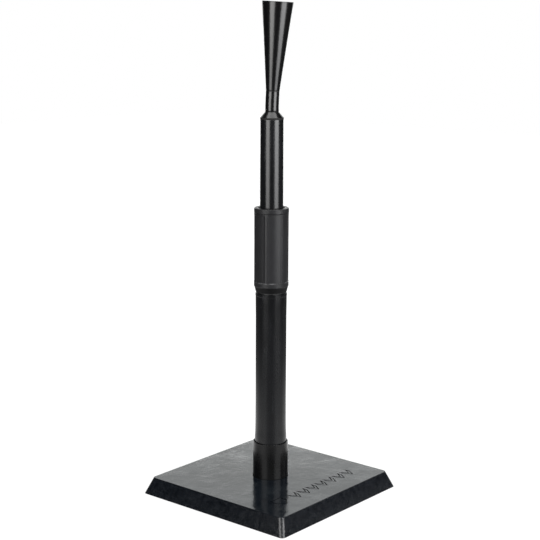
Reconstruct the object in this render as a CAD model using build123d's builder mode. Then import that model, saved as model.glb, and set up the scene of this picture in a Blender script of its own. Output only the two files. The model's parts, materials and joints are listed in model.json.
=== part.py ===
from build123d import *
from math import sin, cos, radians
import os

# Batting tee: a square rubber base, a socketed lower tube, a telescoping
# upper tube held by a twist-lock collar, and a flexible hollow ball rest.
# Millimetres. Origin at the centre of the base's underside, +Z up, the
# base's sides along X and Y. The moulded ornament runs along the +X side.

os.makedirs("parts", exist_ok=True)

# ---------------------------------------------------------------- dimensions
FIT = 0.08            # radial clearance of a running fit
GAP = 0.3             # axial gap between faces that turn against each other

# base
BASE_W = 305.0        # bottom side, 12 in
BASE_TOP_W = 283.0    # top side, the four sides slope inwards
BASE_H = 27.6
BASE_R = 7.0          # vertical corner radius
SKIRT_W = 277.0       # outer size of the underside pocket field
POCKET_H = 13.0       # depth of the underside pockets
RIB_T = 9.0           # ribs between the pockets

# socket
SOCKET_R = 29.65      # outer radius
SOCKET_TOP = 88.0
FLANGE_R = 49.5
FLANGE_Z0, FLANGE_Z1 = 5.0, 10.0
SCREW_PCD_R = 40.0    # four M5 screws

# lower tube
LOWER_R = 25.8        # 2 in class tube
LOWER_RI = 22.8
BELL_R = 26.70        # widened spigot that sits in the socket
LOWER_Z0, LOWER_Z1 = 13.0, 344.5

# twist lock
THREAD_R = 22.6       # major radius of the 4 mm pitch lock thread
FERRULE_RI = 19.45
FERRULE_TOP = 422.0
NUT_R = 25.0
COLLAR_R = 28.6
COLLAR_Z0, COLLAR_Z1 = 346.3, 485.6
PANEL_Z0, PANEL_Z1 = 363.8, 476.6
PANEL_R = 27.0        # radius at the middle of a panel
PANEL_EDGE_R = 27.3   # radius where a panel's floor meets its sloping flanks
PANEL_EDGE = 20.5     # half angle of a panel's floor, degrees
RIB_HALF = 2.5        # half angle of the rib between two panels, degrees
PANEL_DIR = -38.5     # direction of one panel's middle, degrees from +X

# upper tube
UPPER_R = 19.05       # 1.5 in tube
UPPER_RI = 16.5
UPPER_Z0, UPPER_Z1 = 194.0, 631.0
BUSH_Z0, BUSH_Z1 = 200.0, 216.0

# neck and ball rest
SHOULDER_TOP = 641.2
NECK_R = 11.15
CONE_Z0 = 675.0
RIM_R = 25.3
RIM_Z = 817.0


def ring_edges(shapes, z, r=None, tol=0.02):
    """The circular edges at height z, and of radius r if one is given."""
    return [
        e
        for e in shapes.filter_by(GeomType.CIRCLE)
        if abs(e.arc_center.Z - z) < tol and (r is None or abs(e.radius - r) < tol)
    ]


# ================================================================ base group
# Square slab with sloping sides. A shallow chevron-and-plate ornament is
# sunk into the top, along the +X side.
slab_bottom = RectangleRounded(BASE_W, BASE_W, BASE_R)
with BuildPart() as base_slab:
    with BuildSketch(Plane.XY):
        RectangleRounded(BASE_W, BASE_W, BASE_R)
    with BuildSketch(Plane.XY.offset(BASE_H)):
        RectangleRounded(BASE_TOP_W, BASE_TOP_W, BASE_R)
    loft(ruled=True)
    top_rim = base_slab.faces().sort_by(Axis.Z)[-1].outer_wire().edges()
    fillet(top_rim, radius=1.1)
    # underside: four pockets, with a full boss round the socket
    with BuildSketch(Plane.XY):
        pitch = (SKIRT_W - 14 + RIB_T) / 2
        with GridLocations(pitch, pitch, 2, 2):
            RectangleRounded(pitch - RIB_T, pitch - RIB_T, 8)
        Circle(62, mode=Mode.SUBTRACT)
    extrude(amount=POCKET_H, mode=Mode.SUBTRACT)
    # seat of the socket's flange, opened from below
    with BuildSketch(Plane.XY):
        Circle(FLANGE_R + 0.5)
    extrude(amount=FLANGE_Z1, mode=Mode.SUBTRACT)
    # hole the socket stands up through, a little larger than the socket
    with BuildSketch(Plane.XY):
        Circle(SOCKET_R + 0.65)
    extrude(amount=BASE_H + 1, mode=Mode.SUBTRACT)
    hole_rim = ring_edges(base_slab.edges(), BASE_H, SOCKET_R + 0.65)
    fillet(hole_rim, radius=0.8)
    # bores for the moulded-in threaded inserts
    with BuildSketch(Plane.XY.offset(FLANGE_Z1)):
        with PolarLocations(SCREW_PCD_R, 4, start_angle=45):
            Circle(3.6)
    extrude(amount=11.0, mode=Mode.SUBTRACT)
    # ornament: one plate outline and seven open chevrons, sunk 1.2 mm
    with BuildSketch(Plane.XY.offset(BASE_H)) as ornament:
        with BuildLine():
            Polyline(
                (83, -99), (83, -75), (96, -75), (107, -87), (96, -99), close=True
            )
        for i in range(7):
            y = -50 + 23.5 * i
            with BuildLine():
                Polyline(
                    (86, y - 8), (94, y - 8), (106, y), (94, y + 8), (86, y + 8),
                    (98, y), close=True,
                )
        trace(line_width=1.9)
    extrude(amount=-1.2, mode=Mode.SUBTRACT)
base_slab.part.label = "base_slab"
export_step(base_slab.part, "parts/base_slab.step")

# Flanged socket, put in from below and screwed up against the slab.
with BuildPart() as base_socket:
    with BuildSketch(Plane.XZ):
        with BuildLine():
            Polyline(
                (5.0, FLANGE_Z0),
                (FLANGE_R, FLANGE_Z0),
                (FLANGE_R, FLANGE_Z1),
                (SOCKET_R, FLANGE_Z1),
                (SOCKET_R, 72.0),
                (29.35, 84.0),
                (29.15, SOCKET_TOP),
                (28.3, SOCKET_TOP),
                (BELL_R + FIT, SOCKET_TOP - 2.2),
                (BELL_R + FIT, FLANGE_Z1),
                (5.0, FLANGE_Z1),
                close=True,
            )
        make_face()
    revolve(axis=Axis.Z)
    fillet(ring_edges(base_socket.edges(), SOCKET_TOP, 29.15), radius=0.55)
    # four clearance holes for the screws
    with BuildSketch(Plane.XY.offset(FLANGE_Z0)):
        with PolarLocations(SCREW_PCD_R, 4, start_angle=45):
            Circle(2.8)
    extrude(amount=FLANGE_Z1 - FLANGE_Z0, mode=Mode.SUBTRACT)
    # two slots in the floor that key the stem's foot
    with BuildSketch(Plane.XY.offset(FLANGE_Z0)):
        with PolarLocations(18.0, 2, start_angle=90):
            Rectangle(8.0, 6.0)
    extrude(amount=FLANGE_Z1 - FLANGE_Z0, mode=Mode.SUBTRACT)
    # blind gate mark low on the front of the socket
    gate = -41.5
    gate_plane = Plane(
        origin=(SOCKET_R * cos(radians(gate)), SOCKET_R * sin(radians(gate)), 37.0),
        x_dir=(-sin(radians(gate)), cos(radians(gate)), 0),
        z_dir=(cos(radians(gate)), sin(radians(gate)), 0),
    )
    with BuildSketch(gate_plane):
        Circle(1.25)
    extrude(amount=1.1, both=True, mode=Mode.SUBTRACT)
base_socket.part.label = "base_socket"
export_step(base_socket.part, "parts/base_socket.step")

# Four pan-head M5 screws up through the flange.
with BuildPart() as socket_screws:
    with BuildSketch(Plane.XY.offset(1.0)):
        with PolarLocations(SCREW_PCD_R, 4, start_angle=45):
            Circle(4.6)
    extrude(amount=3.0)
    fillet(socket_screws.edges().group_by(Axis.Z)[0], radius=1.0)
    with BuildSketch(Plane.XY.offset(3.5)):
        with PolarLocations(SCREW_PCD_R, 4, start_angle=45):
            Circle(2.4)
    extrude(amount=15.5)
    # hexagon socket in each head
    with BuildSketch(Plane.XY.offset(1.0)):
        with PolarLocations(SCREW_PCD_R, 4, start_angle=45):
            RegularPolygon(radius=1.7, side_count=6)
    extrude(amount=1.8, mode=Mode.SUBTRACT)
socket_screws.part.label = "socket_screws"
export_step(socket_screws.part, "parts/socket_screws.step")

# Washers between the screw heads and the flange.
with BuildPart() as socket_washers:
    with BuildSketch(Plane.XY.offset(4.0)):
        with PolarLocations(SCREW_PCD_R, 4, start_angle=45):
            Circle(5.6)
            Circle(2.65, mode=Mode.SUBTRACT)
    extrude(amount=1.0)
socket_washers.part.label = "socket_washers"
export_step(socket_washers.part, "parts/socket_washers.step")

# Brass inserts moulded into the slab, grooved so the rubber holds them.
with BuildPart() as threaded_inserts:
    with BuildSketch(Plane.XY.offset(FLANGE_Z1)):
        with PolarLocations(SCREW_PCD_R, 4, start_angle=45):
            Circle(3.6)
    extrude(amount=10.0)
    with BuildSketch(Plane.XY.offset(FLANGE_Z1 + 4.0)):
        with PolarLocations(SCREW_PCD_R, 4, start_angle=45):
            Circle(3.8)
            Circle(3.1, mode=Mode.SUBTRACT)
    extrude(amount=2.0, mode=Mode.SUBTRACT)
    with BuildSketch(Plane.XY.offset(FLANGE_Z1)):
        with PolarLocations(SCREW_PCD_R, 4, start_angle=45):
            Circle(2.42)
    extrude(amount=10.0, mode=Mode.SUBTRACT)
threaded_inserts.part.label = "threaded_inserts"
export_step(threaded_inserts.part, "parts/threaded_inserts.step")

# ================================================================ stem group
# Lower tube with a widened lower end.
with BuildPart() as lower_tube:
    with BuildSketch(Plane.XZ):
        with BuildLine():
            Polyline(
                (LOWER_RI, LOWER_Z1),
                (LOWER_RI, LOWER_Z0),
                (BELL_R - 0.8, LOWER_Z0),
                (BELL_R, LOWER_Z0 + 1.5),
                (BELL_R, 93.0),
            )
            Spline(
                (BELL_R, 93.0),
                (26.25, 104.0),
                (LOWER_R, 118.0),
                tangents=((0, 1), (0, 1)),
            )
            Polyline(
                (LOWER_R, 118.0),
                (25.5, 160.0),
                (25.5, 305.0),
                (LOWER_R, 330.0),
                (LOWER_R, LOWER_Z1 - 5.6),
                (LOWER_R + 0.3, LOWER_Z1 - 4.8),
                (LOWER_R + 0.3, LOWER_Z1 - 0.9),
                (LOWER_R - 0.5, LOWER_Z1),
                (LOWER_RI, LOWER_Z1),
            )
        make_face()
    revolve(axis=Axis.Z)
    # cross hole for the pin that holds the foot plug
    with BuildSketch(Plane.YZ.offset(-30)):
        with Locations((0, 30.0)):
            Circle(2.05)
    extrude(amount=60, mode=Mode.SUBTRACT)
lower_tube.part.label = "lower_tube"
export_step(lower_tube.part, "parts/lower_tube.step")

# Plug that closes the tube's foot, keyed to the socket floor by two lugs.
with BuildPart() as foot_plug:
    with BuildSketch(Plane.XZ):
        with BuildLine():
            Polyline(
                (6.0, 10.3),
                (25.6, 10.3),
                (26.1, 11.0),
                (26.1, LOWER_Z0),
                (LOWER_RI, LOWER_Z0),
                (LOWER_RI, 44.0),
                (LOWER_RI - 1.2, 46.0),
                (19.0, 46.0),
                (19.0, 22.0),
                (6.0, 22.0),
                close=True,
            )
        make_face()
    revolve(axis=Axis.Z)
    with BuildSketch(Plane.XY.offset(10.6)):
        with PolarLocations(18.0, 2, start_angle=90):
            Rectangle(7.2, 5.2)
    extrude(amount=-4.2)
    with BuildSketch(Plane.YZ.offset(-30)):
        with Locations((0, 30.0)):
            Circle(2.05)
    extrude(amount=60, mode=Mode.SUBTRACT)
foot_plug.part.label = "foot_plug"
export_step(foot_plug.part, "parts/foot_plug.step")

# Cross pin through tube and plug, ends below the tube's surface.
with BuildPart() as foot_pin:
    with BuildSketch(Plane.YZ.offset(-26.2)):
        with Locations((0, 30.0)):
            Circle(2.0)
    extrude(amount=52.4)
    chamfer(foot_pin.edges().filter_by(GeomType.CIRCLE), length=0.4)
foot_pin.part.label = "foot_pin"
export_step(foot_pin.part, "parts/foot_pin.step")

# Threaded ferrule in the tube's mouth. Its top is a cone seat for the collet.
with BuildPart() as lock_ferrule:
    with BuildSketch(Plane.XZ):
        with BuildLine():
            Polyline(
                (FERRULE_RI, 322.0),
                (LOWER_RI, 322.0),
                (LOWER_RI, LOWER_Z1),
                (24.5, LOWER_Z1),
                (24.5, 346.9),
                (THREAD_R - 1.2, 346.9),
                (THREAD_R - 1.2, 351.0),
                (THREAD_R, 352.2),
                (THREAD_R, FERRULE_TOP - 1.0),
                (THREAD_R - 0.6, FERRULE_TOP),
                (21.58, FERRULE_TOP),
                (20.5, 403.0),
                (FERRULE_RI, 402.0),
                close=True,
            )
        make_face()
    revolve(axis=Axis.Z)
lock_ferrule.part.label = "lock_ferrule"
export_step(lock_ferrule.part, "parts/lock_ferrule.step")

# Split collet: the cone seat squeezes it onto the upper tube.
with BuildPart() as collet:
    with BuildSketch(Plane.XZ):
        with BuildLine():
            Polyline(
                (UPPER_R + FIT, 404.0),
                (20.40, 404.0),
                (21.50, 423.4),
                (21.95, 423.4),
                (21.95, 428.0),
                (UPPER_R + FIT, 428.0),
                close=True,
            )
        make_face()
    revolve(axis=Axis.Z)
    # one through split and five short relief slots from below
    with BuildSketch(Plane.XY.offset(403.0)):
        with Locations((20.5, 0)):
            Rectangle(6.0, 2.4)
    extrude(amount=26.0, mode=Mode.SUBTRACT)
    with BuildSketch(Plane.XY.offset(403.0)):
        with PolarLocations(20.5, 5, start_angle=60, angular_range=240):
            Rectangle(6.0, 1.4)
    extrude(amount=15.0, mode=Mode.SUBTRACT)
collet.part.label = "collet"
export_step(collet.part, "parts/collet.step")

# ============================================================== collar group
# Thrust ring between the turning nut and the collet.
with BuildPart() as thrust_ring:
    with BuildSketch(Plane.XY.offset(428.0 + GAP)):
        Circle(22.2)
        Circle(FERRULE_RI, mode=Mode.SUBTRACT)
    extrude(amount=3.4)
    chamfer(ring_edges(thrust_ring.edges(), 428.0 + GAP + 3.4), length=0.3)
thrust_ring.part.label = "thrust_ring"
export_step(thrust_ring.part, "parts/thrust_ring.step")

# Lock nut inside the grip: lower half threaded, a shoulder over the ring.
NUT_SHOULDER = 428.0 + GAP + 3.4 + GAP
with BuildPart() as collar_nut:
    with BuildSketch(Plane.XZ):
        with BuildLine():
            Polyline(
                (THREAD_R + FIT + 0.8, 350.0),
                (NUT_R, 350.0),
                (NUT_R, 476.0),
                (21.6, 476.0),
                (21.6, NUT_SHOULDER + 8.0),
                (19.6, NUT_SHOULDER + 7.0),
                (19.6, NUT_SHOULDER),
                (THREAD_R + FIT, NUT_SHOULDER),
                (THREAD_R + FIT, 351.0),
                close=True,
            )
        make_face()
    revolve(axis=Axis.Z)
    # six splines that carry the grip round
    with BuildSketch(Plane.XY.offset(364.0)):
        with PolarLocations(NUT_R + 0.2, 6, start_angle=PANEL_DIR + 30):
            Rectangle(1.4, 3.0)
    extrude(amount=106.0)
collar_nut.part.label = "collar_nut"
export_step(collar_nut.part, "parts/collar_nut.step")

# Cutter for one shallow panel. Its floor is a little flatter than the
# collar and climbs to the ribs in two long sloping flanks.
flank = radians(30.0 - RIB_HALF)
floor_edge = radians(PANEL_EDGE)
panel_width = 2 * COLLAR_R * sin(flank)
with BuildPart() as panel_cutter:
    with BuildSketch(
        Plane(
            origin=(20, 0, (PANEL_Z0 + PANEL_Z1) / 2),
            x_dir=(0, 1, 0),
            z_dir=(1, 0, 0),
        )
    ) as panel_face:
        Rectangle(panel_width, PANEL_Z1 - PANEL_Z0)
        fillet(panel_face.vertices().group_by(Axis.Y)[-1], radius=4.0)
        fillet(panel_face.vertices().group_by(Axis.Y)[0], radius=1.4)
    extrude(amount=14)
    with BuildSketch(Plane.XY.offset(PANEL_Z0 - 5)):
        with BuildLine():
            rib_a = (COLLAR_R * cos(flank), -COLLAR_R * sin(flank))
            edge_a = (PANEL_EDGE_R * cos(floor_edge), -PANEL_EDGE_R * sin(floor_edge))
            edge_b = (edge_a[0], -edge_a[1])
            rib_b = (rib_a[0], -rib_a[1])
            Polyline(rib_a, edge_a)
            ThreePointArc(edge_a, (PANEL_R, 0), edge_b)
            Polyline(edge_b, rib_b, (rib_b[0], 20), (0, 20), (0, -20), (rib_a[0], -20), rib_a)
        make_face()
    extrude(amount=PANEL_Z1 - PANEL_Z0 + 10, mode=Mode.SUBTRACT)
    # sloping ledge under the panel's floor
    ledge = radians(-21.0)
    with BuildSketch(
        Plane(
            origin=(0, 0, 0),
            x_dir=(cos(ledge), sin(ledge), 0),
            z_dir=(sin(ledge), -cos(ledge), 0),
        )
    ):
        with BuildLine():
            Polyline(
                (PANEL_R, PANEL_Z0 + 0.01),
                (PANEL_R, PANEL_Z0),
                (COLLAR_R + 0.8, PANEL_Z0 - 1.95),
                (COLLAR_R + 0.8, PANEL_Z0 + 0.01),
                close=True,
            )
        make_face()
    revolve(axis=Axis.Z, revolution_arc=42.0)

# Grip sleeve: six panels between ribs, a plain ring above, and an underside
# that tapers in to the lower tube.
with BuildPart() as collar_grip:
    with BuildSketch(Plane.XZ):
        with BuildLine():
            Polyline(
                (NUT_R, 347.6),
                (24.9, 347.6),
                (24.9, COLLAR_Z0),
                (25.75, COLLAR_Z0),
            )
            Polyline(
                (25.75, COLLAR_Z0),
                (COLLAR_R - 0.75, 354.6),
                (COLLAR_R - 0.25, 355.4),
                (COLLAR_R, 356.4),
                (COLLAR_R, PANEL_Z1 + 0.4),
                (COLLAR_R - 0.8, PANEL_Z1 + 1.1),
                (COLLAR_R, PANEL_Z1 + 1.8),
                (COLLAR_R, COLLAR_Z1 - 1.4),
            )
            RadiusArc(
                (COLLAR_R, COLLAR_Z1 - 1.4), (COLLAR_R - 1.4, COLLAR_Z1), -1.4
            )
            Polyline(
                (COLLAR_R - 1.4, COLLAR_Z1),
                (22.6, COLLAR_Z1),
                (21.0, COLLAR_Z1 - 1.8),
                (21.0, 476.0),
                (NUT_R, 476.0),
                (NUT_R, 347.6),
            )
        make_face()
    revolve(axis=Axis.Z)
    with PolarLocations(0, 6, start_angle=PANEL_DIR):
        add(panel_cutter.part, mode=Mode.SUBTRACT)
    # keyways for the nut's splines
    with BuildSketch(Plane.XY.offset(364.0)):
        with PolarLocations(NUT_R + 0.2, 6, start_angle=PANEL_DIR + 30):
            Rectangle(1.4, 3.0)
    extrude(amount=106.0, mode=Mode.SUBTRACT)
collar_grip.part.label = "collar_grip"
export_step(collar_grip.part, "parts/collar_grip.step")

# Wiper ring in the mouth of the collar, just clear of the upper tube.
with BuildPart() as wiper_ring:
    with BuildSketch(Plane.XZ):
        with BuildLine():
            Polyline(
                (19.40, 478.5),
                (21.0, 477.0),
                (21.0, COLLAR_Z1 - 2.0),
                (20.3, COLLAR_Z1 - 2.0),
                (19.40, COLLAR_Z1 - 3.0),
                close=True,
            )
        make_face()
    revolve(axis=Axis.Z)
wiper_ring.part.label = "wiper_ring"
export_step(wiper_ring.part, "parts/wiper_ring.step")

# =============================================================== guide group
# Bush that slides in the lower tube and in which the upper tube turns.
with BuildPart() as guide_bush:
    with BuildSketch(Plane.XY.offset(BUSH_Z0)):
        Circle(LOWER_RI - FIT)
        Circle(UPPER_R + FIT, mode=Mode.SUBTRACT)
    extrude(amount=BUSH_Z1 - BUSH_Z0)
    chamfer(ring_edges(guide_bush.edges(), BUSH_Z0, LOWER_RI - FIT), length=0.6)
    chamfer(ring_edges(guide_bush.edges(), BUSH_Z1, LOWER_RI - FIT), length=0.6)
guide_bush.part.label = "guide_bush"
export_step(guide_bush.part, "parts/guide_bush.step")

# =============================================================== upper group
# Telescoping tube with two grooves for the rings that hold the bush.
GROOVE_T = 2.2
GROOVE_LO = BUSH_Z0 - GAP - GROOVE_T
GROOVE_HI = BUSH_Z1 + GAP
with BuildPart() as upper_tube:
    with BuildSketch(Plane.XY.offset(UPPER_Z0)):
        Circle(UPPER_R)
        Circle(UPPER_RI, mode=Mode.SUBTRACT)
    extrude(amount=UPPER_Z1 - UPPER_Z0)
    fillet(ring_edges(upper_tube.edges(), UPPER_Z1, UPPER_R), radius=0.5)
    for z in (GROOVE_LO, GROOVE_HI):
        with BuildSketch(Plane.XY.offset(z)):
            Circle(UPPER_R + 1)
            Circle(UPPER_R - 0.7, mode=Mode.SUBTRACT)
        extrude(amount=GROOVE_T, mode=Mode.SUBTRACT)
upper_tube.part.label = "upper_tube"
export_step(upper_tube.part, "parts/upper_tube.step")

# Two split snap rings in the grooves.
with BuildPart() as bush_rings:
    for z in (GROOVE_LO, GROOVE_HI):
        with BuildSketch(Plane.XY.offset(z)):
            Circle(21.4)
            Circle(UPPER_R - 0.7, mode=Mode.SUBTRACT)
            with Locations((20, 0)):
                Rectangle(8, 3, mode=Mode.SUBTRACT)
        extrude(amount=GROOVE_T)
bush_rings.part.label = "bush_rings"
export_step(bush_rings.part, "parts/bush_rings.step")

# Cap in the upper tube's lower end.
with BuildPart() as tube_end_plug:
    with BuildSketch(Plane.XZ):
        with BuildLine():
            Polyline(
                (0, 190.0),
                (17.6, 190.0),
                (18.6, 191.0),
                (18.6, UPPER_Z0),
                (UPPER_RI, UPPER_Z0),
                (UPPER_RI, 206.0),
                (UPPER_RI - 2.2, 206.0),
                (UPPER_RI - 2.2, 193.0),
                (0, 193.0),
                close=True,
            )
        make_face()
    revolve(axis=Axis.Z)
tube_end_plug.part.label = "tube_end_plug"
export_step(tube_end_plug.part, "parts/tube_end_plug.step")

# Shoulder cap: conical shoulder outside, plug in the tube, dowel bore.
with BuildPart() as neck_cap:
    with BuildSketch(Plane.XZ):
        with BuildLine():
            Polyline(
                (5.03, 596.0),
                (UPPER_RI - 1.0, 596.0),
                (UPPER_RI, 597.5),
                (UPPER_RI, UPPER_Z1),
                (UPPER_R + 0.12, UPPER_Z1),
                (UPPER_R + 0.12, UPPER_Z1 + 0.9),
                (UPPER_R - 0.35, UPPER_Z1 + 1.5),
                (NECK_R + 0.35, SHOULDER_TOP - 0.3),
                (NECK_R, SHOULDER_TOP),
                (5.03, SHOULDER_TOP),
                close=True,
            )
        make_face()
    revolve(axis=Axis.Z)
    # relief grooves round the plug
    for z in (604.0, 612.0, 620.0):
        with BuildSketch(Plane.XY.offset(z)):
            Circle(UPPER_RI + 0.5)
            Circle(UPPER_RI - 0.8, mode=Mode.SUBTRACT)
        extrude(amount=3.0, mode=Mode.SUBTRACT)
neck_cap.part.label = "neck_cap"
export_step(neck_cap.part, "parts/neck_cap.step")

# Steel dowel that stiffens the neck and carries the ball rest.
with BuildPart() as neck_dowel:
    with BuildSketch(Plane.XY.offset(600.0)):
        Circle(5.0)
    extrude(amount=92.0)
    chamfer(neck_dowel.edges().filter_by(GeomType.CIRCLE), length=0.8)
neck_dowel.part.label = "neck_dowel"
export_step(neck_dowel.part, "parts/neck_dowel.step")

# Flexible ball rest: straight neck, then a long hollow cone with a thin rim.
with BuildPart() as ball_rest:
    with BuildSketch(Plane.XZ):
        with BuildLine():
            Polyline(
                (5.03, SHOULDER_TOP),
                (NECK_R, SHOULDER_TOP),
                (NECK_R, CONE_Z0 - 4.0),
            )
            Spline(
                (NECK_R, CONE_Z0 - 4.0),
                (NECK_R + 0.22, CONE_Z0 + 1.0),
                (NECK_R + (RIM_R - NECK_R) * 8.0 / (RIM_Z - CONE_Z0), CONE_Z0 + 8.0),
                tangents=((0, 1), (RIM_R - NECK_R, RIM_Z - CONE_Z0)),
            )
            Polyline(
                (NECK_R + (RIM_R - NECK_R) * 8.0 / (RIM_Z - CONE_Z0), CONE_Z0 + 8.0),
                (RIM_R - 0.05, RIM_Z - 0.8),
                (RIM_R - 0.6, RIM_Z),
                (RIM_R - 2.0, RIM_Z),
                (RIM_R - 2.9, RIM_Z - 1.4),
                (8.6, 706.0),
                (7.4, 703.0),
                (0, 703.0),
                (0, 692.2),
                (5.03, 692.2),
                (5.03, SHOULDER_TOP),
            )
        make_face()
    revolve(axis=Axis.Z)
ball_rest.part.label = "ball_rest"
export_step(ball_rest.part, "parts/ball_rest.step")
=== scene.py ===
import bpy
import bmesh
import json
import math
from mathutils import Matrix, Vector


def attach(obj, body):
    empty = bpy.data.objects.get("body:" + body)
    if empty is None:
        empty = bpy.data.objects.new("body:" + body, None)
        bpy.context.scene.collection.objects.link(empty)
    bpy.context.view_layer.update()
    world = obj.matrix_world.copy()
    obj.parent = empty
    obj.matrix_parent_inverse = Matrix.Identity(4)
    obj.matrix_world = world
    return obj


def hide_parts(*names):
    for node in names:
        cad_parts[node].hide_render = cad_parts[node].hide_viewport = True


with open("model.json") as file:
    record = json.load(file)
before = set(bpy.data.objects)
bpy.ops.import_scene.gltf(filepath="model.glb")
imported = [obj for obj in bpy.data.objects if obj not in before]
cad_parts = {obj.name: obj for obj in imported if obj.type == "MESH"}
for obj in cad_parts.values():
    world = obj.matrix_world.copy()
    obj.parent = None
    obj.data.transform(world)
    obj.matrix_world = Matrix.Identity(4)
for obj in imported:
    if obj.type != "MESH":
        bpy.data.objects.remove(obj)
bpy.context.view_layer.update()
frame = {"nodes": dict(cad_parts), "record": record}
N = frame["nodes"]

# --------------------------------------------------------------------- camera
# Placed by azimuth, distance and height about the object's own axis.
SIDE = 0.305
CAM = dict(f=1315.0, az=39.86, dist=6.973, zc=2.636, pitch=11.24, yaw=0.058, roll=0.246)
az = math.radians(CAM["az"])
yaw = math.radians(CAM["yaw"])
pitch = math.radians(CAM["pitch"])
roll = math.radians(CAM["roll"])
cam_pos = Vector((CAM["dist"] * math.sin(az), -CAM["dist"] * math.cos(az), CAM["zc"])) * SIDE
fwd = Vector((-math.sin(az + yaw) * math.cos(pitch), math.cos(az + yaw) * math.cos(pitch), -math.sin(pitch)))
right = fwd.cross(Vector((0, 0, 1))).normalized()
up = right.cross(fwd)
r2 = right * math.cos(roll) + up * math.sin(roll)
u2 = -right * math.sin(roll) + up * math.cos(roll)
cam_data = bpy.data.cameras.new("camera")
cam_data.sensor_width = 36.0
cam_data.lens = CAM["f"] / 540.0 * 36.0
cam_data.clip_start = 0.05
cam_data.clip_end = 50.0
camera = bpy.data.objects.new("camera", cam_data)
bpy.context.scene.collection.objects.link(camera)
camera.matrix_world = Matrix((
    (r2.x, u2.x, -fwd.x, cam_pos.x),
    (r2.y, u2.y, -fwd.y, cam_pos.y),
    (r2.z, u2.z, -fwd.z, cam_pos.z),
    (0, 0, 0, 1),
))
bpy.context.scene.camera = camera
bpy.context.scene.view_settings.view_transform = "Standard"
bpy.context.scene.view_settings.look = "None"


def around(deg, dist, z):
    """A point at an angle round the object from the camera's direction, positive to the camera's right."""
    a = az + math.radians(deg)
    return Vector((dist * math.sin(a), -dist * math.cos(a), z))


# --------------------------------------------------------------------- lights
def area(name, pos, target, w, h, radiance, tint=(1, 1, 1), spread=180):
    d = bpy.data.lights.new(name, "AREA")
    d.shape = "RECTANGLE"
    d.size = w
    d.size_y = h
    d.energy = radiance * math.pi * w * h
    d.color = tint
    d.spread = math.radians(spread)
    o = bpy.data.objects.new(name, d)
    bpy.context.scene.collection.objects.link(o)
    z = (pos - target).normalized()
    x = Vector((0, 0, 1)).cross(z)
    x = x.normalized() if x.length > 1e-4 else Vector((math.cos(az), math.sin(az), 0))
    y = z.cross(x)
    o.matrix_world = Matrix((
        (x.x, y.x, z.x, pos.x), (x.y, y.y, z.y, pos.y), (x.z, y.z, z.z, pos.z), (0, 0, 0, 1)))
    o.visible_camera = False
    return o


# each softbox fades towards its foot, in three bands
for name, deg, width, rad, tint in (("soft_left", -40, 1.00, 5.3, (1.0, 0.995, 0.985)),
                                    ("soft_right", 49, 1.12, 6.8, (0.985, 0.99, 1.0))):
    for z0, z1, k_ in ((0.08, 0.30, 0.45), (0.30, 0.50, 0.70), (0.50, 1.22, 1.0)):
        zc = (z0 + z1) / 2
        area(name, around(deg, 1.6, zc), Vector((0, 0, zc)), width, z1 - z0, rad * k_, tint)
area("soft_top", Vector((0, 0, 2.4)), Vector((0, 0, 0)), 2.1, 1.1, 3.6)
area("card_right", around(102, 2.0, 1.15), Vector((0, 0, 0.0)), 1.1, 0.9, 1.5)
area("sweep", around(180, 3.2, 1.2), Vector((0, 0, 0.2)), 4.4, 2.2, 1.13, (0.975, 1.0, 0.99))
# for the other sides of the object: a sweep over the camera's head and a low light right behind
area("front_sweep", around(0, 3.2, 1.80), Vector((0, 0, 0.2)), 4.4, 1.6, 1.0)
area("back_key", around(180, 2.6, 0.42), Vector((0, 0, 0.42)), 1.5, 0.62, 3.2)

world = bpy.data.worlds.new("studio")
bpy.context.scene.world = world
world.use_nodes = True
wt = world.node_tree
wt.nodes.clear()
w_out = wt.nodes.new("ShaderNodeOutputWorld")
w_cam = wt.nodes.new("ShaderNodeBackground")
w_cam.inputs["Color"].default_value = (1, 1, 1, 1)
w_cam.inputs["Strength"].default_value = 1.0
w_amb = wt.nodes.new("ShaderNodeBackground")
w_amb.inputs["Color"].default_value = (1, 1, 1, 1)
w_amb.inputs["Strength"].default_value = 0.03
w_path = wt.nodes.new("ShaderNodeLightPath")
w_mix = wt.nodes.new("ShaderNodeMixShader")
wt.links.new(w_path.outputs["Is Camera Ray"], w_mix.inputs["Fac"])
wt.links.new(w_amb.outputs[0], w_mix.inputs[1])
wt.links.new(w_cam.outputs[0], w_mix.inputs[2])
wt.links.new(w_mix.outputs[0], w_out.inputs["Surface"])

# ---------------------------------------------------------------------- floor
bm = bmesh.new()
bmesh.ops.create_grid(bm, x_segments=8, y_segments=8, size=6.0)
floor_mesh = bpy.data.meshes.new("floor")
bm.to_mesh(floor_mesh)
bm.free()
floor = bpy.data.objects.new("floor", floor_mesh)
floor.location = (0, 0, -0.0004)
bpy.context.scene.collection.objects.link(floor)
fm = bpy.data.materials.new("floor_white")
fm.use_nodes = True
ft = fm.node_tree
fb = ft.nodes["Principled BSDF"]
fb.inputs["Base Color"].default_value = (0.15, 0.15, 0.15, 1)
fb.inputs["Roughness"].default_value = 0.9
fb.inputs["Specular IOR Level"].default_value = 0.0
fb.inputs["Emission Color"].default_value = (1, 1, 1, 1)
f_co = ft.nodes.new("ShaderNodeTexCoord")
f_len = ft.nodes.new("ShaderNodeVectorMath")
f_len.operation = "LENGTH"
def f_range(lo, hi, at_lo, at_hi):
    n = ft.nodes.new("ShaderNodeMapRange")
    n.interpolation_type = "SMOOTHSTEP"
    n.inputs["From Min"].default_value = lo
    n.inputs["From Max"].default_value = hi
    n.inputs["To Min"].default_value = at_lo
    n.inputs["To Max"].default_value = at_hi
    ft.links.new(f_len.outputs["Value"], n.inputs["Value"])
    return n.outputs["Result"]


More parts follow.
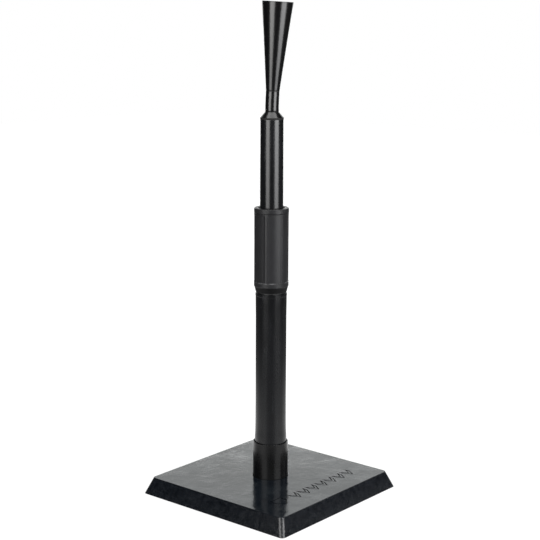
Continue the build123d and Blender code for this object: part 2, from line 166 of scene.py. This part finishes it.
# to the camera the sweep is white up to the contact shadow; reflections see a pool of light that fades
f_seen = f_range(0.14, 0.36, 0.88, 1.05)
f_pool = f_range(0.22, 0.95, 0.85, 0.02)
f_dot = ft.nodes.new("ShaderNodeVectorMath")
f_dot.operation = "DOT_PRODUCT"
f_dot.inputs[1].default_value = (math.sin(az), -math.cos(az), 0.0)
f_nrm = ft.nodes.new("ShaderNodeVectorMath")
f_nrm.operation = "NORMALIZE"
ft.links.new(f_co.outputs["Object"], f_nrm.inputs[0])
ft.links.new(f_nrm.outputs["Vector"], f_dot.inputs[0])
f_front = ft.nodes.new("ShaderNodeMapRange")
f_front.interpolation_type = "SMOOTHSTEP"
f_front.inputs["From Min"].default_value = 0.72
f_front.inputs["From Max"].default_value = 0.97
f_front.inputs["To Min"].default_value = 1.25
f_front.inputs["To Max"].default_value = 0.45
ft.links.new(f_dot.outputs["Value"], f_front.inputs["Value"])
f_mul = ft.nodes.new("ShaderNodeMath")
f_mul.operation = "MULTIPLY"
ft.links.new(f_pool, f_mul.inputs[0])
ft.links.new(f_front.outputs["Result"], f_mul.inputs[1])
f_ray = ft.nodes.new("ShaderNodeLightPath")
f_mix = ft.nodes.new("ShaderNodeMix")
f_mix.data_type = "FLOAT"
ft.links.new(f_co.outputs["Object"], f_len.inputs[0])
ft.links.new(f_ray.outputs["Is Camera Ray"], f_mix.inputs["Factor"])
ft.links.new(f_mul.outputs[0], f_mix.inputs["A"])
ft.links.new(f_seen, f_mix.inputs["B"])
ft.links.new(f_mix.outputs[0], fb.inputs["Emission Strength"])
floor_mesh.materials.append(fm)


# ------------------------------------------------------------------ materials
class Mat:
    """A small node-tree writer: each material is colour, roughness and relief made from object-space noise."""

    def __init__(self, name):
        self.m = bpy.data.materials.new(name)
        self.m.use_nodes = True
        self.t = self.m.node_tree
        self.bsdf = self.t.nodes["Principled BSDF"]
        self.co = self.t.nodes.new("ShaderNodeTexCoord").outputs["Object"]

    def set(self, **kw):
        for k, v in kw.items():
            self.bsdf.inputs[k.replace("_", " ")].default_value = v
        return self

    def scaled(self, x, y, z, loc=(0, 0, 0)):
        n = self.t.nodes.new("ShaderNodeMapping")
        n.inputs["Scale"].default_value = (x, y, z)
        n.inputs["Location"].default_value = loc
        self.t.links.new(self.co, n.inputs["Vector"])
        return n.outputs["Vector"]

    def noise(self, scale, detail=3.0, rough=0.55, stretch=(1, 1, 1), loc=(0, 0, 0)):
        n = self.t.nodes.new("ShaderNodeTexNoise")
        n.inputs["Scale"].default_value = scale
        n.inputs["Detail"].default_value = detail
        n.inputs["Roughness"].default_value = rough
        self.t.links.new(self.scaled(*stretch, loc=loc), n.inputs["Vector"])
        return n.outputs["Fac"]

    def voronoi(self, scale, stretch=(1, 1, 1), feature="F1"):
        n = self.t.nodes.new("ShaderNodeTexVoronoi")
        n.feature = feature
        n.inputs["Scale"].default_value = scale
        self.t.links.new(self.scaled(*stretch), n.inputs["Vector"])
        return n.outputs["Distance"]

    def ramp(self, fac, lo, hi, a=0.0, b=1.0):
        n = self.t.nodes.new("ShaderNodeMapRange")
        n.inputs["From Min"].default_value = lo
        n.inputs["From Max"].default_value = hi
        n.inputs["To Min"].default_value = a
        n.inputs["To Max"].default_value = b
        self.t.links.new(fac, n.inputs["Value"])
        return n.outputs["Result"]

    def math(self, op, a, b=None):
        n = self.t.nodes.new("ShaderNodeMath")
        n.operation = op
        for i, v in enumerate((a, b)):
            if v is None:
                continue
            if isinstance(v, (int, float)):
                n.inputs[i].default_value = v
            else:
                self.t.links.new(v, n.inputs[i])
        return n.outputs[0]

    def height(self):
        n = self.t.nodes.new("ShaderNodeSeparateXYZ")
        self.t.links.new(self.co, n.inputs[0])
        return n.outputs["Z"]

    def band(self, z0, z1, soft=0.0004):
        """1 between two heights on the part, 0 outside them."""
        z = self.height()
        return self.math("MULTIPLY", self.ramp(z, z0 - soft, z0 + soft), self.ramp(z, z1 - soft, z1 + soft, 1.0, 0.0))

    def mixcol(self, fac, a, b):
        n = self.t.nodes.new("ShaderNodeMix")
        n.data_type = "RGBA"
        self.t.links.new(fac, n.inputs["Factor"])
        sa, sb = n.inputs[6], n.inputs[7]
        for sock, v in ((sa, a), (sb, b)):
            if isinstance(v, (tuple, list)):
                sock.default_value = (*v, 1.0) if len(v) == 3 else v
            else:
                self.t.links.new(v, sock)
        return n.outputs[2]

    def bump(self, height, dist, strength=1.0, normal=None):
        n = self.t.nodes.new("ShaderNodeBump")
        n.inputs["Strength"].default_value = strength
        n.inputs["Distance"].default_value = dist
        self.t.links.new(height, n.inputs["Height"])
        if normal is not None:
            self.t.links.new(normal, n.inputs["Normal"])
        return n.outputs["Normal"]

    def out(self, color=None, rough=None, normal=None):
        if color is not None:
            self.t.links.new(color, self.bsdf.inputs["Base Color"])
        if rough is not None:
            self.t.links.new(rough, self.bsdf.inputs["Roughness"])
        if normal is not None:
            self.t.links.new(normal, self.bsdf.inputs["Normal"])
        return self.m


def plain(name, a, b, r0, r1, scale, bump=0.00005, ior=1.5, metallic=0.0, streak=(1, 1, 1), spec=0.5):
    k = Mat(name)
    k.set(IOR=ior, Metallic=metallic, Specular_IOR_Level=spec)
    n1 = k.noise(scale, 4, 0.6, streak)
    n2 = k.noise(scale * 0.17, 3, 0.5, loc=(3.1, 1.7, 0.4))
    col = k.mixcol(k.ramp(n2, 0.35, 0.65), a, b)
    rough = k.ramp(n1, 0.3, 0.7, r0, r1)
    return k.out(col, rough, k.bump(n1, bump))


def drawn_tube(name, a, b, r0, r1, spec, ior, grain, seam=None):
    """A painted or drawn tube: lengthwise drawing streaks, soft mottling, a few rub marks, a dull line at a seam."""
    k = Mat(name)
    k.set(IOR=ior, Specular_IOR_Level=spec)
    streaks = k.noise(210, 3, 0.6, (1, 1, 0.018))
    blotch = k.noise(26, 4, 0.55, (1, 1, 0.35), loc=(1.3, 0.2, 0.9))
    fine = k.noise(900, 2, 0.5, (1, 1, 0.3))
    scuff = k.ramp(k.noise(140, 5, 0.7, (1, 1, 0.12), loc=(0.4, 2.2, 0.1)), 0.60, 0.72)
    tone = k.ramp(blotch, 0.34, 0.66)
    col = k.mixcol(tone, a, b)
    col = k.mixcol(k.math("MULTIPLY", scuff, 0.35), col, tuple(min(1.0, c * 2.6 + 0.004) for c in b))
    rough = k.ramp(streaks, 0.3, 0.7, r0, r1)
    rough = k.math("ADD", rough, k.ramp(blotch, 0.3, 0.7, -0.025, 0.025))
    rough = k.math("ADD", rough, k.math("MULTIPLY", scuff, 0.10))
    height = k.math("ADD", k.math("MULTIPLY", streaks, 0.6), k.math("MULTIPLY", fine, 0.4))
    if seam is not None:
        line = k.band(*seam)
        rough = k.math("ADD", rough, k.math("MULTIPLY", line, 0.6))
        col = k.mixcol(line, col, (0.0012, 0.0012, 0.0014))
    return k.out(col, rough, k.bump(height, grain))


M = {}

# Base: polished-mould top with cloudy handling marks, pebbled sides, and a lighter grey band along the top's outer
# edges that is partly wear and partly a painted highlight on the rounded edge.
k = Mat("base_rubber")
k.set(IOR=1.5, Specular_IOR_Level=0.5)
geo = k.t.nodes.new("ShaderNodeNewGeometry")
sep_n = k.t.nodes.new("ShaderNodeSeparateXYZ")
k.t.links.new(geo.outputs["True Normal"], sep_n.inputs[0])
sep_p = k.t.nodes.new("ShaderNodeSeparateXYZ")
k.t.links.new(k.co, sep_p.inputs[0])
is_top = k.ramp(sep_n.outputs["Z"], 0.90, 0.985)
is_side = k.math("SUBTRACT", 1.0, is_top)
cloud = k.noise(17, 5, 0.6, loc=(0.2, 0.7, 0.0))
smear = k.noise(46, 4, 0.62, (1.0, 0.8, 1.0), loc=(2.0, 0.4, 0.0))
mottle = k.noise(120, 4, 0.6)
pebble = k.voronoi(620)
grain = k.noise(1400, 2, 0.5)
half_reach = k.math("MAXIMUM", k.math("ABSOLUTE", sep_p.outputs["X"]), k.math("ABSOLUTE", sep_p.outputs["Y"]))
# a lighter band round the top's outer edge, broken up by mottle: partly wear, partly a painted highlight on the
# rounded edge
edge_wear_and_highlight = k.math("MULTIPLY", k.ramp(half_reach, 0.1385, 0.1418), is_top)
edge_wear_and_highlight = k.math("MULTIPLY", edge_wear_and_highlight, k.ramp(mottle, 0.35, 0.62))
col = k.mixcol(k.ramp(mottle, 0.36, 0.64), (0.0022, 0.0032, 0.0050), (0.0050, 0.0068, 0.0098))
top_col = k.mixcol(k.ramp(cloud, 0.38, 0.62), (0.0026, 0.0046, 0.0078), (0.0076, 0.0108, 0.0148))
dusty = k.ramp(k.noise(44, 6, 0.72, loc=(0.9, 1.3, 0.0)), 0.52, 0.70)
top_col = k.mixcol(k.math("MULTIPLY", dusty, 0.30), top_col, (0.046, 0.051, 0.054))
col = k.mixcol(is_top, col, top_col)
sunk = k.math("MULTIPLY", k.band(0.0255, 0.0272, 0.0001), is_top)
col = k.mixcol(sunk, col, (0.0016, 0.0020, 0.0026))
# lighten that outer edge band of the top: wear plus painted highlight
col = k.mixcol(k.math("MULTIPLY", edge_wear_and_highlight, 0.5), col, (0.040, 0.043, 0.046))
rough_top = k.math("ADD", k.ramp(cloud, 0.32, 0.68, 0.085, 0.150), k.ramp(smear, 0.42, 0.70, -0.012, 0.050))
rough_side = k.ramp(mottle, 0.34, 0.66, 0.16, 0.24)
rough = k.math("ADD", k.math("MULTIPLY", rough_top, is_top), k.math("MULTIPLY", rough_side, is_side))
rough = k.math("ADD", rough, k.math("MULTIPLY", sunk, 0.5))
h_side = k.math("MULTIPLY", k.math("ADD", k.math("MULTIPLY", pebble, 0.9), k.math("MULTIPLY", mottle, 0.75)), is_side)
h_top = k.math("MULTIPLY", k.math("ADD", k.math("MULTIPLY", grain, 0.05), k.math("ADD", k.math("MULTIPLY", smear, 1.3), k.math("MULTIPLY", cloud, 2.6))), is_top)
M["base_rubber"] = k.out(col, rough, k.bump(k.math("ADD", h_side, h_top), 0.00022))

# Socket: dense black moulding, a little mould bloom and fine pebbling.
k = Mat("socket_black")
k.set(IOR=1.5, Specular_IOR_Level=0.32)
blotch = k.noise(48, 4, 0.6, (1, 1, 0.5))
fine = k.noise(520, 3, 0.6)
M["socket_black"] = k.out(
    k.mixcol(k.ramp(blotch, 0.35, 0.65), (0.0030, 0.0030, 0.0032), (0.0062, 0.0062, 0.0066)),
    k.math("ADD", k.ramp(fine, 0.3, 0.7, 0.24, 0.30), k.ramp(blotch, 0.3, 0.7, -0.03, 0.05)),
    k.bump(k.math("ADD", fine, k.math("MULTIPLY", blotch, 1.4)), 0.000035))

M["tube_satin"] = drawn_tube("tube_satin", (0.0034, 0.0036, 0.0044), (0.0062, 0.0066, 0.0080), 0.23, 0.30, 0.38, 1.5, 0.00002)
M["tube_gloss"] = drawn_tube("tube_gloss", (0.0030, 0.0034, 0.0042), (0.0060, 0.0064, 0.0078), 0.20, 0.25, 0.5, 1.60, 0.000008, seam=(0.6293, 0.70))
M["cap_gloss"] = drawn_tube("cap_gloss", (0.0022, 0.0022, 0.0026), (0.0040, 0.0040, 0.0046), 0.20, 0.25, 0.5, 1.60, 0.00001, seam=(0.60, 0.6321))

# Collar: moulded soft grip with a fine eroded texture, mottled where hands polish it.
k = Mat("grip_rubber")
k.set(IOR=1.5, Specular_IOR_Level=0.36)
blotch = k.noise(38, 4, 0.6, (1, 1, 0.6), loc=(0.8, 0.3, 0.2))
fine = k.noise(780, 3, 0.62)
cells = k.voronoi(1100)
# painted shade: the downward-facing taper under the collar is darkened in colour and given less specular
painted_shade_under = k.band(0.30, 0.3557, 0.0006)
col = k.mixcol(k.ramp(blotch, 0.34, 0.66), (0.0145, 0.0145, 0.0158), (0.0210, 0.0210, 0.0230))
col = k.mixcol(painted_shade_under, col, (0.0040, 0.0040, 0.0044))
k.t.links.new(k.math("SUBTRACT", 0.36, k.math("MULTIPLY", painted_shade_under, 0.22)), k.bsdf.inputs["Specular IOR Level"])
# painted highlight: a thin lighter line along the panels' bottom ledge, broken up by noise
ledge_painted_highlight = k.math("MULTIPLY", k.band(0.3621, 0.3638, 0.0003), k.ramp(k.noise(120, 3, 0.6), 0.40, 0.56))
col = k.mixcol(k.math("MULTIPLY", ledge_painted_highlight, 0.8), col, (0.095, 0.096, 0.100))
M["grip_rubber"] = k.out(
    col,
    k.math("ADD", k.ramp(fine, 0.3, 0.7, 0.34, 0.44), k.ramp(blotch, 0.3, 0.7, 0.03, -0.05)),
    k.bump(k.math("ADD", k.math("MULTIPLY", cells, 0.7), fine), 0.00004))

# Ball rest: soft rubber, moulded glossy, with faint long waves that break the highlights up.
k = Mat("rest_rubber")
k.set(IOR=1.60, Specular_IOR_Level=0.5)
waves = k.noise(48, 3, 0.5, (1, 1, 0.22), loc=(0.1, 0.6, 0.3))
fine = k.noise(640, 3, 0.6)
dust = k.ramp(k.noise(90, 5, 0.7, loc=(1.9, 0.1, 0.6)), 0.58, 0.75)
M["rest_rubber"] = k.out(
    k.mixcol(k.math("MULTIPLY", dust, 0.4), (0.0026, 0.0026, 0.0030), (0.0090, 0.0090, 0.0095)),
    k.math("ADD", k.ramp(fine, 0.3, 0.7, 0.19, 0.24), k.math("MULTIPLY", dust, 0.06)),
    k.bump(k.math("ADD", k.math("MULTIPLY", waves, 3.0), k.math("MULTIPLY", fine, 0.12)), 0.00010))

M["seal_rubber"] = plain("seal_rubber", (0.004, 0.004, 0.004), (0.006, 0.006, 0.006), 0.5, 0.6, 500, spec=0.3)
M["inner_plastic"] = plain("inner_plastic", (0.010, 0.010, 0.011), (0.016, 0.016, 0.016), 0.4, 0.5, 300)
M["natural_plastic"] = plain("natural_plastic", (0.50, 0.48, 0.43), (0.60, 0.58, 0.53), 0.35, 0.45, 300)
M["zinc_steel"] = plain("zinc_steel", (0.52, 0.53, 0.54), (0.62, 0.62, 0.60), 0.28, 0.4, 600, metallic=1.0)
M["dowel_steel"] = plain("dowel_steel", (0.50, 0.50, 0.51), (0.58, 0.58, 0.58), 0.3, 0.4, 600, metallic=1.0)
M["insert_brass"] = plain("insert_brass", (0.66, 0.47, 0.18), (0.74, 0.56, 0.26), 0.3, 0.4, 600, metallic=1.0)

slot_of = {s["node"]: s["material_slot"] for s in frame["record"]["subparts"]}
for name, obj in N.items():
    m = M[slot_of[name]]
    if obj.material_slots:
        for s in obj.material_slots:
            s.material = m
    else:
        obj.data.materials.append(m)

# ------------------------------------------------------------------ ball rest
# The rubber rest leans a little, as a soft cone does on its neck: the same profile as the CAD piece,
# bent over smoothly above the neck, with a rolled lip and a seam where the cone starts.
LEAN_AZ = 39.86
LEAN_K, LEAN_C, LEAN_Z = 0.0535, 0.010, 0.648


def lean(z):
    """Sideways offset and slope of the rest's axis at height z."""
    u = max(0.0, z - LEAN_Z)
    e = LEAN_K * u * u / (u + LEAN_C)
    de = LEAN_K * (u * u + 2 * u * LEAN_C) / (u + LEAN_C) ** 2
    return e, de


def profile():
    """Closed half-section of the rest, (radius, height) in metres, from the foot of the bore outwards."""
    pts = [(0.00503, 0.6412), (0.00560, 0.66), (0.00720, 0.6922), (0.0, 0.6922)]
    out = [(0.01085, 0.6412), (0.01115, 0.6416)]
    for i in range(1, 13):
        out.append((0.01115, 0.6416 + (0.6738 - 0.6416) * i / 12))
    out += [(0.01118, 0.6741), (0.01092, 0.6744), (0.01092, 0.6747), (0.01120, 0.6751)]
    out += [(0.01134, 0.6760), (0.01150, 0.6778), (0.01174, 0.6802), (0.01195, 0.6830)]
    for i in range(1, 37):
        t = i / 36
        z = 0.6830 + (0.8161 - 0.6830) * t
        out.append((0.01195 + (0.02524 - 0.01195) * t, z))
    lip = [(0.02529, 0.8164), (0.02527, 0.8167), (0.02515, 0.81692), (0.02490, 0.8170), (0.02350, 0.8170),
           (0.02315, 0.81685), (0.02290, 0.8165), (0.02270, 0.8160)]
    inner = [(0.0225 - (0.0225 - 0.0086) * i / 24, 0.8154 - (0.8154 - 0.7060) * i / 24) for i in range(25)]
    inner += [(0.0081, 0.7041), (0.0074, 0.7033), (0.0060, 0.7030), (0.0, 0.7030)]
    return pts[:3], out + lip + inner


def build_rest():
    bore, skin = profile()
    bm = bmesh.new()
    seg = 112
    a0 = math.radians(LEAN_AZ)
    dx, dy = math.cos(a0), math.sin(a0)

    def place(r, z, ang):
        e, de = lean(z)
        c, s_ = math.cos(ang), math.sin(ang)
        x, y = r * c, r * s_
        along = x * dx + y * dy          # distance towards the lean
        n = 1.0 / math.sqrt(1.0 + de * de)
        px = x + dx * (e + along * (n - 1.0))
        py = y + dy * (e + along * (n - 1.0))
        drop = 0.0016 * max(0.0, (z - 0.70) / 0.117) ** 2
        return Vector((px, py, z - along * de * n - drop))

    def ring(r, z):
        return [bm.verts.new(place(r, z, 2 * math.pi * i / seg)) for i in range(seg)]

    def join(a, b):
        for i in range(seg):
            j = (i + 1) % seg
            bm.faces.new((a[i], a[j], b[j], b[i]))

    rows = [ring(r, z) for r, z in skin[:-1]]
    for a, b in zip(rows, rows[1:]):
        join(a, b)
    floor_mid = bm.verts.new(place(0.0, skin[-1][1], 0.0))
    for i in range(seg):
        bm.faces.new((rows[-1][i], rows[-1][(i + 1) % seg], floor_mid))
    inner_rows = [ring(r, z) for r, z in bore]
    join(inner_rows[0], rows[0])
    for a, b in zip(inner_rows, inner_rows[1:]):
        join(b, a)
    roof = bm.verts.new(place(0.0, bore[-1][1], 0.0))
    for i in range(seg):
        bm.faces.new((inner_rows[-1][(i + 1) % seg], inner_rows[-1][i], roof))
    bmesh.ops.recalc_face_normals(bm, faces=bm.faces[:])
    me = bpy.data.meshes.new("ball_rest_skin")
    bm.to_mesh(me)
    bm.free()
    for p in me.polygons:
        p.use_smooth = True
    me.set_sharp_from_angle(angle=math.radians(50))
    me.materials.append(M["rest_rubber"])
    ob = bpy.data.objects.new("ball_rest_skin", me)
    bpy.context.scene.collection.objects.link(ob)
    return ob


rest = build_rest()
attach(rest, "upper")
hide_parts("ball_rest")
